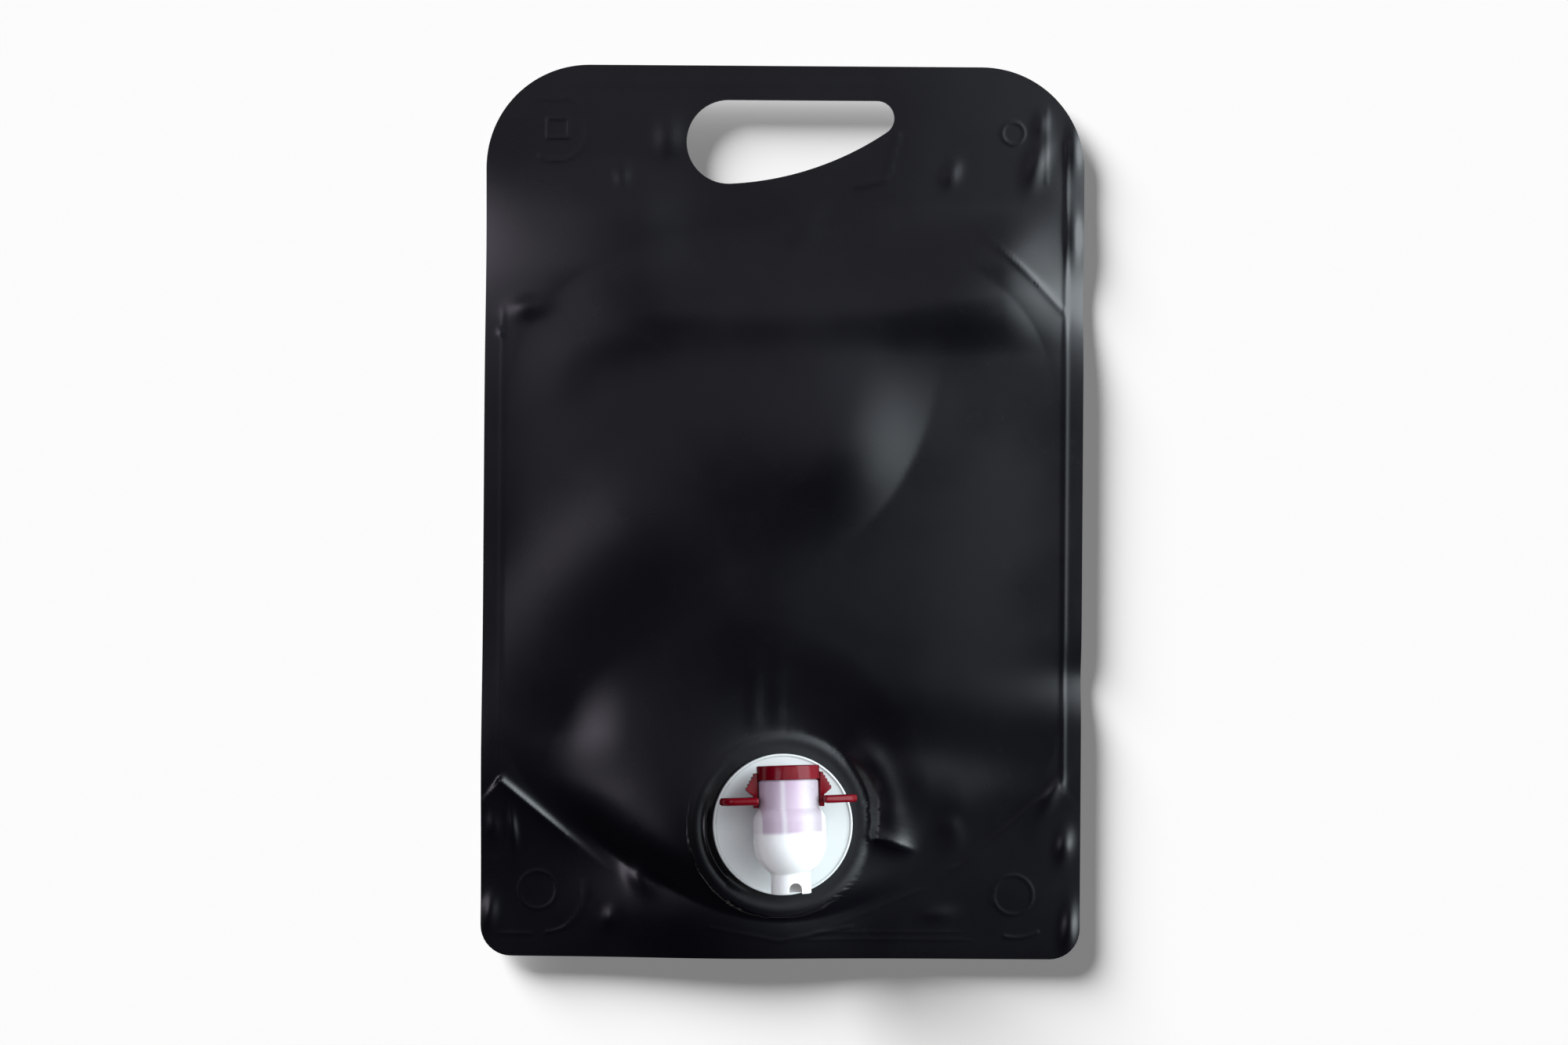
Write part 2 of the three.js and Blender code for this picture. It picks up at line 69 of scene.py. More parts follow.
# the handle hole: x, y and radius of its two ends and of the bow between them, and where the bow meets them
WIDE_END = (-16.0, 103.65, 11.75)
NARROW_END = (25.6, 110.55, 4.85)
BOW = (-19.81, 177.80, 86.0)
BOW_START, BOW_END = 272.945, 304.031
SEAL_PLANE = 5.6
SEAL_HALF = 0.4
BELLY_RISE = 4.4
BELLY_RAMP, BELLY_POWER = 26.0, 1.6
BACK_RAMP, BACK_GAIN = 15.0, 1.25
FOLD_RAMP = 11.0
TAP = Vector((0.0, -87.0, 10.6))
TAP_TURN = Euler([math.radians(a) for a in (-5.0, 8.5, 2.0)], "ZYX").to_matrix()
TAP_MATRIX = Matrix.Translation(TAP) @ TAP_TURN.to_4x4()
TAP_HOLE = 18.7
BARREL_Z = 15.8
BARREL_RADIUS = 8.2

# The film over and beside the tap's flange

RING_RADIUS = 25.6
RING_EDGE = 0.4
RING_SETBACK = 0.25
RIM_SETBACK = 0.5
OUTER_CREST = (23.4, 1.1, 0.10)
INNER_CREST = (20.9, 0.6, 0.42)
# the inner crest stands only to the lower left of the plate
CREST_SIDE = (math.cos(math.radians(203)), math.sin(math.radians(203)))
CREST_ENDS = (0.72, 0.95)
# the slope beside the flange: its reach, how much more it is on the high left side, and how straight it is there
SLOPE_REACH, LEFT_REACH, LEFT_STRAIGHTNESS = 17.0, 26.0, 0.4
WELD_REACH, WELD_POWER = 5.0, 1.5
WRINKLES_START = (24.2, 27.4)

# Welds and folds, as lines of points in millimetres

POCKET = (
    # point, and how steeply the film rises from the edge that starts there
    ((-79.0, 55.5), 0.65), ((-79.0, -75.0), 0.8), ((-43.0, -105.0), 0.9), ((-21.5, -115.3), 1.1),
    ((0.0, -119.5), 1.3), ((21.5, -115.3), 1.1), ((43.0, -105.0), 0.9), ((79.0, -75.0), 0.5),
    ((79.0, 55.5), 0.5), ((56.0, 78.5), 0.5), ((36.0, 86.0), 0.5), ((-36.0, 86.0), 0.5),
    ((-56.0, 78.5), 0.5),
)
CORNER_ROUNDING = 5.0


def arc(cx, cy, radius, start, end, steps):
    """Points along an arc, angles in degrees."""
    angles = [math.radians(start + (end - start) * i / steps) for i in range(steps + 1)]
    return [(cx + radius * math.cos(a), cy + radius * math.sin(a)) for a in angles]


def curved(points, pieces=5):
    """A smooth line through the given points."""
    line = []
    last = len(points) - 1
    for i in range(last):
        before, a, b, after = points[max(0, i - 1)], points[i], points[i + 1], points[min(last, i + 2)]
        for k in range(pieces):
            t = k / pieces
            line.append(tuple(
                0.5 * (2 * q + (r - p) * t + (2 * p - 5 * q + 4 * r - e) * t ** 2
                       + (3 * q - p - 3 * r + e) * t ** 3)
                for p, q, r, e in zip(before, a, b, after)
            ))
    return line + [points[-1]]


# Height of the film, in millimetres, for arrays of x and y

def segment_distance(x, y, ax, ay, bx, by):
    """Distance to a segment, the side it is on (+1 left of the way from a to b), and the share along it."""
    dx, dy = bx - ax, by - ay
    share = np.clip(((x - ax) * dx + (y - ay) * dy) / (dx * dx + dy * dy), 0.0, 1.0)
    px, py = x - ax - share * dx, y - ay - share * dy
    side = np.sign(dx * (y - ay) - dy * (x - ax))
    return np.hypot(px, py), side, share


def line_distance(x, y, points):
    """Distance to a line of points, the side, and the share of the whole length."""
    lengths = [math.dist(a, b) for a, b in zip(points, points[1:])]
    total = sum(lengths)
    best = np.full_like(x, np.inf)
    side = np.ones_like(x)
    share = np.zeros_like(x)
    gone = 0.0
    for (a, b), length in zip(zip(points, points[1:]), lengths):
        d, s, t = segment_distance(x, y, *a, *b)
        nearer = d < best
        best = np.where(nearer, d, best)
        side = np.where(nearer, s, side)
        share = np.where(nearer, (gone + t * length) / total, share)
        gone += length
    return best, side, share


def pocket_depth(x, y):
    """How far inside the unwelded pocket a point lies, 0 on the welds, without a ridge at its corners."""
    total = np.zeros_like(x)
    for ((ax, ay), stretch), ((bx, by), _) in zip(POCKET, POCKET[1:] + POCKET[:1]):
        length = math.hypot(bx - ax, by - ay)
        inward = ((bx - ax) * (y - ay) - (by - ay) * (x - ax)) / length
        total += np.exp(-np.clip(inward * stretch, -60.0, 300.0) / CORNER_ROUNDING)
    return np.maximum(0.0, -CORNER_ROUNDING * np.log(total))


def swell(depth):
    """Share of the belly's rise at a depth inside the pocket: level at the weld and level in the middle."""
    return 1.0 - np.exp(-((depth / BELLY_RAMP) ** BELLY_POWER))


def smooth(value, low, high):
    """0 up to low, 1 from high on, and a soft change between them."""
    t = np.clip((value - low) / (high - low), 0.0, 1.0)
    return t * t * (3.0 - 2.0 * t)


def ends(share, fade):
    """1 in the middle of a line and 0 at its ends, over the given share of its length at each end."""
    first, last = fade
    value = np.ones_like(share)
    if first > 0.0:
        value = value * smooth(share, 0.0, first)
    if last > 0.0:
        value = value * smooth(1.0 - share, 0.0, last)
    return value


def soft_fold(x, y, points, rise, left, right, fade):
    """A rounded fold along a line, with its own width on each side of it."""
    d, side, share = line_distance(x, y, points)
    width = np.where(side > 0, left, right)
    return rise * np.exp(-((d / width) ** 2)) * ends(share, fade)


def sharp_fold(x, y, points, rise, left, right, fade):
    """A creased fold: the film runs up to the line ever more steeply."""
    d, side, share = line_distance(x, y, points)
    width = np.where(side > 0, left, right)
    return rise * np.exp(-d / width) * ends(share, fade)


def hump(value, middle, width, rise):
    """A soft rise across one direction."""
    return rise * np.exp(-(((value - middle) / width) ** 2))


def turned(x, y, cx, cy, turn):
    """Distances from a point along a direction, in degrees, and across it."""
    c, s = math.cos(math.radians(turn)), math.sin(math.radians(turn))
    return (x - cx) * c + (y - cy) * s, (y - cy) * c - (x - cx) * s


def bank(x, y, cx, cy, turn, long, width, reach, curve, rise):
    """A slope with a crease at its foot, which runs along turn and bends to the left, and which dies away."""
    u, v = turned(x, y, cx, cy, turn)
    v = v - curve * u ** 2
    share = np.clip(v / width, 0.0, 1.0)
    climb = 1.5 * share - 0.5 * share ** 3
    return rise * climb * np.exp(-((np.maximum(v, 0.0) / reach) ** 2) - (u / long) ** 2)


def dimple(x, y, cx, cy, long, wide, turn, rise):
    """A soft oval rise or hollow."""
    u, v = turned(x, y, cx, cy, turn)
    return rise * np.exp(-((u / long) ** 2) - (v / wide) ** 2)


# Folds: points, rise, width to the left and to the right of the way, and the faded share of each end
SOFT_FOLDS = (
    # over the folded edge of the top gusset, bending down the left side
    (((79, 56), (40, 57), (0, 57.5), (-36, 56), (-57, 48), (-66, 34), (-70, 16)),
     2.1, 9.5, 15.0, (0.04, 0.35)),
    # the long diagonal billow of the left half
    (((-82, -30), (-60, -19), (-38, -7), (-16, 2)), 1.5, 18.0, 20.0, (0.0, 0.4)),
    # hollows between the belly and the bottom gusset
    (((-80, -61), (-62, -60.5), (-42, -60)), -1.6, 12.0, 8.0, (0.05, 0.5)),
    (((8, -61), (40, -65), (80, -68)), -1.7, 11.0, 9.0, (0.25, 0.05)),
    # over the folded edge of the bottom gusset
    (((-77, -77), (-52, -80), (-32, -87)), 0.7, 6.0, 8.0, (0.2, 0.3)),
    (((40, -84), (58, -80), (79, -77)), 0.9, 6.0, 9.0, (0.3, 0.1)),
    (((46, -84), (49, -91), (49, -99)), 0.8, 2.4, 3.4, (0.3, 0.4)),
)

BROAD_FOLDS = (
    # the shoulder that the upper right corner falls away from
    (((60, 88), (61, 44)), 2.8, 15.0, 30.0, (0.45, 0.4)),
    # the low ridge of the header's left half
    (((-42, 100), (-44, 50)), 1.8, 15.0, 25.0, (0.4, 0.4)),
)

NEAR_TAP_FOLDS = (
    # the film pushed up beside the flange, on the side that the tap leans to
    (((16, -63), (24, -69), (29, -78), (30, -86), (28, -93)), 1.4, 4.4, 7.0, (0.35, 0.3)),
    # tension lines that run up from the tap
    (((-7.6, -63), (-7.0, -36)), 0.16, 2.2, 2.2, (0.25, 0.6)),
    (((-1.2, -63), (-0.8, -34)), 0.16, 2.2, 2.2, (0.25, 0.6)),
)

NEAR_TAP_CREASES = (
    # the star wrinkle that starts at the flange
    (((23, -90), (30, -92), (39, -95.5)), 2.2, 4.6, 1.5, (0.05, 0.5)),
)

SHARP_FOLDS = (
    # the weld's edge across the lower left corner
    (((-79, -75), (-42.5, -105.5)), 1.15, 0.8, 3.2, (0.01, 0.75)),
    (((79, -75), (42.5, -105.5)), 0.3, 2.5, 1.0, (0.05, 0.35)),
    # the top gusset's fold into the right side weld
    (((79, 56), (66, 69), (52, 81)), 0.30, 0.7, 0.7, (0.02, 0.3)),
)

# The belly's broad highlight: a point of the slope's foot, its direction, its half length, its width, how
# soon it dies away, its bend and its rise
BELLY_BANK = (32.0, 7.0, 57, 22.0, 24.0, 42.0, 0.007, 4.0)

# Round forms: x, y, half length, half width, direction in degrees, and rise
HOLLOWS = (
    # the left side of the belly, drawn down towards its weld
    (-84.0, -5.0, 24.0, 15.0, 0, -0.7),
    # the film between the left weld and the high side of the tap, held up by it
    (-64.0, -68.0, 20.0, 17.0, 0, 1.5),
)

WELD_LIFTS = (
    # the bottom weld and the left weld, pulled up by the high side of the leaning gland
    (-19.0, -113.0, 30.0, 15.0, -8, 5.0),
    (-82.0, -70.0, 16.0, 24.0, 0, 2.4),
)

DIMPLES = (
    # beside the handle
    (-45.8, 94.0, 3.2, 2.0, 90, 0.45),
    (-33.0, 105.0, 6.0, 3.6, 90, 0.6),
    (46.5, 95.0, 3.4, 2.0, 70, 0.5),
    (70.6, 98.5, 6.2, 2.6, 72, 0.75),
    (71.6, 109.0, 3.2, 2.0, 80, 0.4),
    (4.7, 79.8, 8.0, 4.0, 50, 0.4),
    # along the bottom weld
    (-39.8, -101.3, 5.6, 3.2, 115, 1.2),
    (-47.4, -114.0, 2.8, 2.0, 80, 0.5),
    (44.5, -112.5, 4.0, 2.0, 10, 0.35),
    # side welds
    (-75.0, -89.0, 5.0, 1.2, 95, 0.6),
    (-72.5, 57.0, 5.0, 3.0, 10, 0.7),
    (-79.6, 50.0, 1.0, 0.8, 0, 0.3),
    (76.0, -79.0, 5.0, 1.6, 60, 0.5),
    # pleats in the free side edges
    (81.0, 102.0, 6.0, 2.0, 90, 0.6),
    (81.0, 78.0, 6.5, 2.0, 90, 0.6),
    (79.5, -93.0, 4.0, 2.0, 80, 0.8),
    (81.0, -116.0, 6.0, 2.0, 85, 0.9),
    (-80.5, -88.5, 3.6, 1.8, 90, 0.5),
    (-81.5, -113.0, 5.0, 2.2, 80, 0.9),
)

# Lines pressed into the film by the welding tools: points, rise and half width
PRESSED = (
    (((79, 104), (79, -76)), 0.16, 0.7),
    (((-79, 56), (-79, -76)), 0.05, 0.7),
    (((73.3, 113), (73.3, 93)), 0.05, 0.6),
    (arc(63.8, 106.6, 3.1, 0, 360, 24), 0.10, 0.45),
    (((-70, 115.6), (-62, 115.6)), 0.06, 0.5),
    (arc(-64.5, 107.3, 9.2, -120, 75, 20), 0.09, 0.5),
    (((-66.7, 109.9), (-60.8, 109.9), (-60.8, 104.6), (-66.7, 104.6), (-66.7, 109.9)), 0.09, 0.45),
    (arc(-68.0, -106.4, 5.3, 0, 360, 28), 0.11, 0.45),
    (arc(-66.3, -106.6, 11.7, -85, 15, 14), 0.12, 0.5),
    (arc(65.2, -107.0, 5.5, 0, 360, 28), 0.10, 0.45),
    (arc(66.0, -106.8, 12.2, -105, -60, 10), 0.12, 0.5),
    (((-79, -118.7), (-70, -118.7)), 0.08, 0.5),
    (((-19.5, -116), (0, -120), (19.5, -116)), 0.10, 0.5),
    (((10, -117.5), (50, -117.5)), 0.05, 0.4),
    (((6, -119.6), (52, -119.6)), 0.06, 0.4),
    (((48.7, -99), (39.9, -105.5), (17.9, -114.7), (6.9, -119.1)), 0.10, 0.5),
    (((31.5, 106), (28.2, 93.6), (20, 91.4)), 0.12, 0.7),
    (((-60, 119.8), (29, 119.8)), 0.05, 0.5),
)

# How the free side edges sag: side, middle and half length along the edge, drop, and reach inwards
EDGE_SAGS = (
    (1, 61.0, 13.0, 2.8, 10.0),
    (1, -46.5, 7.5, 2.0, 12.0),
    (1, 94.0, 16.0, 1.3, 11.0),
    (-1, 75.0, 26.0, 2.6, 20.0),
)
# and how each whole edge does: side, drop and reach
EVEN_SAGS = ((1, 0.3, 11.0), (-1, 0.4, 20.0))


def pressed(x, y):
    """All the lines pressed into the film."""
    total = np.zeros_like(x)
    for points, rise, width in PRESSED:
        distance, _, _ = line_distance(x, y, points)
        total += hump(distance, 0.0, width, rise)
    return total


def folded(x, y, kind, folds):
    """All the folds of a table, made as soft or as sharp ones."""
    total = np.zeros_like(x)
    for points, *sizes in folds:
        total += kind(x, y, curved(points), *sizes)
    return total


def dimpled(x, y, spots):
    """All the round forms of a table."""
    return sum(dimple(x, y, *spot) for spot in spots)


def edge_droop(x, y):
    """How far the free side edges sag below the seal plane, ever more steeply towards the edge."""
    total = np.zeros_like(x)
    for side, middle, length, drop, reach in EDGE_SAGS:
        total += hump(y, middle, length, drop) * np.exp((side * x - HALF_WIDTH) / reach)
    for side, drop, reach in EVEN_SAGS:
        total += drop * np.exp((side * x - HALF_WIDTH) / reach)
    return total


def tap_plane(x, y):
    """Height of the plane that the gland's flange holds."""
    n = TAP_TURN @ Vector((0.0, 0.0, 1.0))
    return TAP.z - (x * n.x + (y - TAP.y) * n.y) / n.z


def round_tap(x, y):
    """Distance from the tap's middle, never quite 0, and the direction from it."""
    dx, dy = x - TAP.x, y - TAP.y
    r = np.maximum(np.hypot(dx, dy), 1.0)
    return r, dx / r, dy / r


def over_flange(x, y):
    """The film over the flange: a flat just below the flange's plane, two low crests, and the edge."""
    r, right, up = round_tap(x, y)
    to_crest = right * CREST_SIDE[0] + up * CREST_SIDE[1]
    crests = hump(r, *OUTER_CREST) + hump(r, *INNER_CREST) * smooth(to_crest, *CREST_ENDS)
    edge = RING_SETBACK * smooth(r, 24.0, RING_RADIUS + RING_EDGE)
    return tap_plane(x, y) - RING_SETBACK + crests - edge


def beside_flange(x, y, slack, depth):
    """The slack film, drawn up or down to the flange's rim where it comes near it, and held by the welds."""
    r, right, up = round_tap(x, y)
    inward = np.minimum(r, RING_RADIUS)
    rim = tap_plane(TAP.x + right * inward, TAP.y + up * inward) - RIM_SETBACK
    to_left = 0.5 - 0.5 * right
    gone = np.clip((r - RING_RADIUS) / (SLOPE_REACH + LEFT_REACH * to_left), 0.0, 1.0)
    straight = LEFT_STRAIGHTNESS * to_left
    held = 1.0 - straight * gone - (1.0 - straight) * smooth(gone, 0.0, 1.0)
    off_weld = 1.0 - np.exp(-((depth / WELD_REACH) ** WELD_POWER))
    return slack + (rim - slack) * held * off_weld


def front_height(x, y):
    """The front film: slack over the bag, held over the tap's flange, and sagging at its side edges."""
    depth = pocket_depth(x, y)
    folds = folded(x, y, soft_fold, SOFT_FOLDS) + bank(x, y, *BELLY_BANK) + dimpled(x, y, HOLLOWS)
    fine = folded(x, y, soft_fold, BROAD_FOLDS) + folded(x, y, sharp_fold, SHARP_FOLDS)
    fine = fine + dimpled(x, y, DIMPLES) + pressed(x, y)
    slack = SEAL_PLANE + SEAL_HALF + dimpled(x, y, WELD_LIFTS) + swell(depth) * BELLY_RISE
    slack = slack + (1.0 - np.exp(-depth / FOLD_RAMP)) * folds + fine
    r, _, _ = round_tap(x, y)
    surface = np.where(r < RING_RADIUS + RING_EDGE, over_flange(x, y), beside_flange(x, y, slack, depth))
    wrinkles = folded(x, y, soft_fold, NEAR_TAP_FOLDS) + folded(x, y, sharp_fold, NEAR_TAP_CREASES)
    return surface + wrinkles * smooth(r, *WRINKLES_START) - edge_droop(x, y)


def back_height(x, y):
    """The back film: down on the floor inside the welds, and always below the front film."""
    spread = np.minimum(1.0, BACK_GAIN * (1.0 - np.exp(-pocket_depth(x, y) / BACK_RAMP)))
    slack = (SEAL_PLANE - SEAL_HALF) * (1.0 - spread) + dimpled(x, y, WELD_LIFTS) - edge_droop(x, y)
    return np.maximum(0.0, np.minimum(slack, front_height(x, y) - 2.0 * SEAL_HALF))


# Mesh helpers

def new_object(name, bm, material, body="pouch"):
    """A piece of the scene that rides on a body."""
    mesh = bpy.data.meshes.new(name)
    bm.to_mesh(mesh)
    bm.free()
    obj = bpy.data.objects.new(name, mesh)
    bpy.context.collection.objects.link(obj)
    mesh.materials.append(material)
    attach(obj, body)
    return obj


def steps(low, high, size):
    """Even steps of about the given size, from low up to but without high."""
    count = max(1, round((high - low) / size))
    return [low + (high - low) * i / count for i in range(count)]


def film_sheet(xs, ys, tap_hole):
    """The bag's outline with its handle hole, cut into a grid at the given x and y values."""
    corners = (
        (-HALF_WIDTH + BOTTOM_RADIUS, -HALF_HEIGHT + BOTTOM_RADIUS, BOTTOM_RADIUS, 180, 270, 10),
        (HALF_WIDTH - BOTTOM_RADIUS, -HALF_HEIGHT + BOTTOM_RADIUS, BOTTOM_RADIUS, 270, 360, 10),
        (HALF_WIDTH - TOP_RADIUS, HALF_HEIGHT - TOP_RADIUS, TOP_RADIUS, 0, 90, 28),
        (-HALF_WIDTH + TOP_RADIUS, HALF_HEIGHT - TOP_RADIUS, TOP_RADIUS, 90, 180, 28),
    )
    outline = [point for corner in corners for point in arc(*corner)]
    handle = arc(*WIDE_END, 90, BOW_START, 28) + arc(*BOW, BOW_START, BOW_END, 24)[1:]
    handle += arc(*NARROW_END, BOW_END, 450, 18)[1:]
    loops = [outline, handle]
    if tap_hole:
        loops.append(arc(TAP.x, TAP.y, tap_hole, 0, 354, 59))
    bm = bmesh.new()
    for loop in loops:
        points = [bm.verts.new((px, py, 0.0)) for px, py in loop]
        for a, b in zip(points, points[1:] + points[:1]):
            bm.edges.new((a, b))
    bmesh.ops.remove_doubles(bm, verts=bm.verts[:], dist=1e-3)
    bmesh.ops.triangle_fill(bm, use_beauty=True, edges=bm.edges[:])
    for values, place, across in ((xs, lambda x: (x, 0, 0), (1, 0, 0)), (ys, lambda y: (0, y, 0), (0, 1, 0))):
        for value in values:
            everything = bm.verts[:] + bm.edges[:] + bm.faces[:]
            bmesh.ops.bisect_plane(bm, geom=everything, dist=1e-5, plane_co=place(value), plane_no=across)
    slanted = []
    for edge in bm.edges:
        a, b = edge.verts[0].co, edge.verts[1].co
        if not edge.is_boundary and abs(a.x - b.x) > 1e-4 and abs(a.y - b.y) > 1e-4:
            slanted.append(edge)
    bmesh.ops.dissolve_edges(bm, edges=slanted, use_verts=False, use_face_split=False)
    return bm


def raise_sheet(bm, height):
    """Moves each vertex to the film's height and turns millimetres into metres."""
    flat = np.array([v.co[:] for v in bm.verts])
    z = height(flat[:, 0], flat[:, 1])
    for vert, (px, py, _), pz in zip(bm.verts, flat.tolist(), z.tolist()):
        vert.co = (px * MM, py * MM, pz * MM)


def hem(bm, depth):
    """Turns the free edges of a sheet down, or up, to the seal's middle."""
    border = [e for e in bm.edges if e.is_boundary]
    made = bmesh.ops.extrude_edge_only(bm, edges=border)["geom"]
    for vert in (g for g in made if isinstance(g, bmesh.types.BMVert)):
        vert.co.z -= depth * MM
    for edge in border:
        edge.smooth = False


def finish_sheet(bm, facing):
    """Turns a sheet's faces up, for 1, or down, for -1, and shades it smooth."""
    bmesh.ops.recalc_face_normals(bm, faces=bm.faces[:])
    total = sum(f.normal.z * f.calc_area() for f in bm.faces)
    if total * facing < 0.0:
        bmesh.ops.reverse_faces(bm, faces=bm.faces[:])
    for face in bm.faces:
        face.smooth = True


def spun(profile, count, about="Z"):
    """A turned piece from (radius, height) pairs, in millimetres, about the tap's Z or the barrel's axis."""
    bm = bmesh.new()
    verts = [bm.verts.new((r, 0.0, h)) for r, h in profile]
    edges = [bm.edges.new(pair) for pair in zip(verts, verts[1:] + verts[:1])]
    bmesh.ops.spin(
        bm, geom=verts + edges, cent=(0, 0, 0), axis=(0, 0, 1), dvec=(0, 0, 0),
        angle=2 * math.pi, steps=count, use_merge=True, use_duplicate=False,
    )
    bmesh.ops.remove_doubles(bm, verts=bm.verts[:], dist=1e-4)
    bmesh.ops.recalc_face_normals(bm, faces=bm.faces[:])
    if about == "barrel":
        turn = Matrix.Translation((0, 0, BARREL_Z)) @ Matrix.Rotation(math.radians(-90), 4, "X")
        bmesh.ops.transform(bm, matrix=turn, verts=bm.verts[:])
    return bm


def prism(outline, low, high):
    """An outline in the XY plane, extruded from low to high."""
    bm = bmesh.new()
    face = bm.faces.new([bm.verts.new((px, py, low)) for px, py in outline])
    made = bmesh.ops.extrude_face_region(bm, geom=[face])["geom"]
    for vert in (g for g in made if isinstance(g, bmesh.types.BMVert)):
        vert.co.z = high
    bmesh.ops.recalc_face_normals(bm, faces=bm.faces[:])
    return bm


def bevelled(bm, width, segments, angle=40.0):
    """Rounds the edges that turn by more than the given angle."""
    sharp = [e for e in bm.edges if len(e.link_faces) == 2 and e.calc_face_angle(0.0) > math.radians(angle)]
    bmesh.ops.bevel(
        bm, geom=sharp, offset=width, segments=segments, profile=0.5, affect="EDGES", material=-1,
        clamp_overlap=True,
    )
    return bm


def joined(*parts):
    """Several pieces as one."""
    bm = bmesh.new()
    for part in parts:
        mesh = bpy.data.meshes.new("part")
        part.to_mesh(mesh)
        part.free()
        bm.from_mesh(mesh)
        bpy.data.meshes.remove(mesh)
    return bm


SHARP_ANGLE = math.radians(35)


def on_tap(bm):
    """Moves a piece from the tap's own millimetres to its place on the bag, and shades it smooth."""
    bmesh.ops.transform(bm, matrix=Matrix.Scale(MM, 4) @ TAP_MATRIX, verts=bm.verts[:])
    for face in bm.faces:
        face.smooth = True
    for edge in bm.edges:
        if len(edge.link_faces) == 2 and edge.calc_face_angle(0.0) > SHARP_ANGLE:
            edge.smooth = False
    return bm


def cut(obj, tool_bm):
    """Cuts a tool's shape out of a piece; the tool is then thrown away."""
    mesh = bpy.data.meshes.new("tool")
    tool_bm.to_mesh(mesh)
    tool_bm.free()
    tool = bpy.data.objects.new("tool", mesh)
    bpy.context.collection.objects.link(tool)
    modifier = obj.modifiers.new("cut", "BOOLEAN")
    modifier.operation = "DIFFERENCE"
    modifier.solver = "EXACT"
    modifier.object = tool
    bpy.context.view_layer.objects.active = obj
    with bpy.context.temp_override(object=obj, active_object=obj, selected_objects=[obj]):
        bpy.ops.object.modifier_apply(modifier=modifier.name)
    bpy.data.objects.remove(tool)
    bpy.data.meshes.remove(mesh)


# Materials

class Nodes:
    """Short calls for building a node tree."""

    def __init__(self, tree):
        self.tree = tree

    def add(self, kind, **settings):
        node = self.tree.nodes.new(kind)
        for name, value in settings.items():
            setattr(node, name, value)
        return node

    def link(self, source, target):
        self.tree.links.new(source, target)

    def math(self, operation, a, b=None):
        node = self.add("ShaderNodeMath", operation=operation)
        for socket, value in zip(node.inputs, (a, b)):
            if value is None:
                continue
            if isinstance(value, bpy.types.NodeSocket):
                self.link(value, socket)
            else:
                socket.default_value = value
        return node.outputs[0]

    def noise(self, coords, scale, detail=3.0, roughness=0.5):
        node = self.add("ShaderNodeTexNoise")
        node.inputs["Scale"].default_value = scale
        node.inputs["Detail"].default_value = detail
        node.inputs["Roughness"].default_value = roughness
        self.link(coords, node.inputs["Vector"])
        return node.outputs["Fac"]

    def ramp(self, value, low, high, first=0.0, last=1.0):
        node = self.add("ShaderNodeMapRange", interpolation_type="SMOOTHSTEP")
        for name, number in zip(("From Min", "From Max", "To Min", "To Max"), (low, high, first, last)):
            node.inputs[name].default_value = number
        self.link(value, node.inputs["Value"])
        return node.outputs["Result"]

    def mix(self, share, first, second):
        node = self.add("ShaderNodeMix", data_type="RGBA")
        self.link(share, node.inputs["Factor"])
        for socket, value in ((node.inputs[6], first), (node.inputs[7], second)):
            if isinstance(value, bpy.types.NodeSocket):
                self.link(value, socket)
            else:
                socket.default_value = (*value, 1.0)
        return node.outputs[2]

    def bump(self, height, strength, distance, normal=None):
        node = self.add("ShaderNodeBump")
        node.inputs["Strength"].default_value = strength
        node.inputs["Distance"].default_value = distance
        self.link(height, node.inputs["Height"])
        if normal:
            self.link(normal, node.inputs["Normal"])
        return node.outputs["Normal"]


def new_material(name):
    """A material with its nodes, its Principled shader and its Object coordinates."""
    material = bpy.data.materials.new(name)
    material.use_nodes = True
    nodes = Nodes(material.node_tree)
    shader = next(n for n in material.node_tree.nodes if n.type == "BSDF_PRINCIPLED")
    coords = nodes.add("ShaderNodeTexCoord").outputs["Object"]
    return material, nodes, shader, coords


FILM_DARK, FILM_LIGHT = (0.0014, 0.0013, 0.0026), (0.0024, 0.0023, 0.0042)


def film_material():
    """Satin black film: a broad change of gloss, a fine grain and faint scuffs."""
    material, nodes, shader, coords = new_material("black_film")
    broad = nodes.noise(coords, scale=26.0)
    grain = nodes.noise(coords, scale=1400.0, detail=2.0)
    scuff = nodes.noise(coords, scale=240.0, detail=5.0, roughness=0.65)
    nodes.link(nodes.mix(broad, FILM_DARK, FILM_LIGHT), shader.inputs["Base Color"])
    gloss = nodes.ramp(broad, low=0.3, high=0.7, first=0.25, last=0.31)
    scuffed = nodes.ramp(scuff, low=0.55, high=0.8, last=0.03)
    nodes.link(nodes.math("ADD", gloss, scuffed), shader.inputs["Roughness"])
    grained = nodes.bump(grain, strength=0.06, distance=0.00003)
    nodes.link(nodes.bump(scuff, strength=0.04, distance=0.0001, normal=grained), shader.inputs["Normal"])
    return material


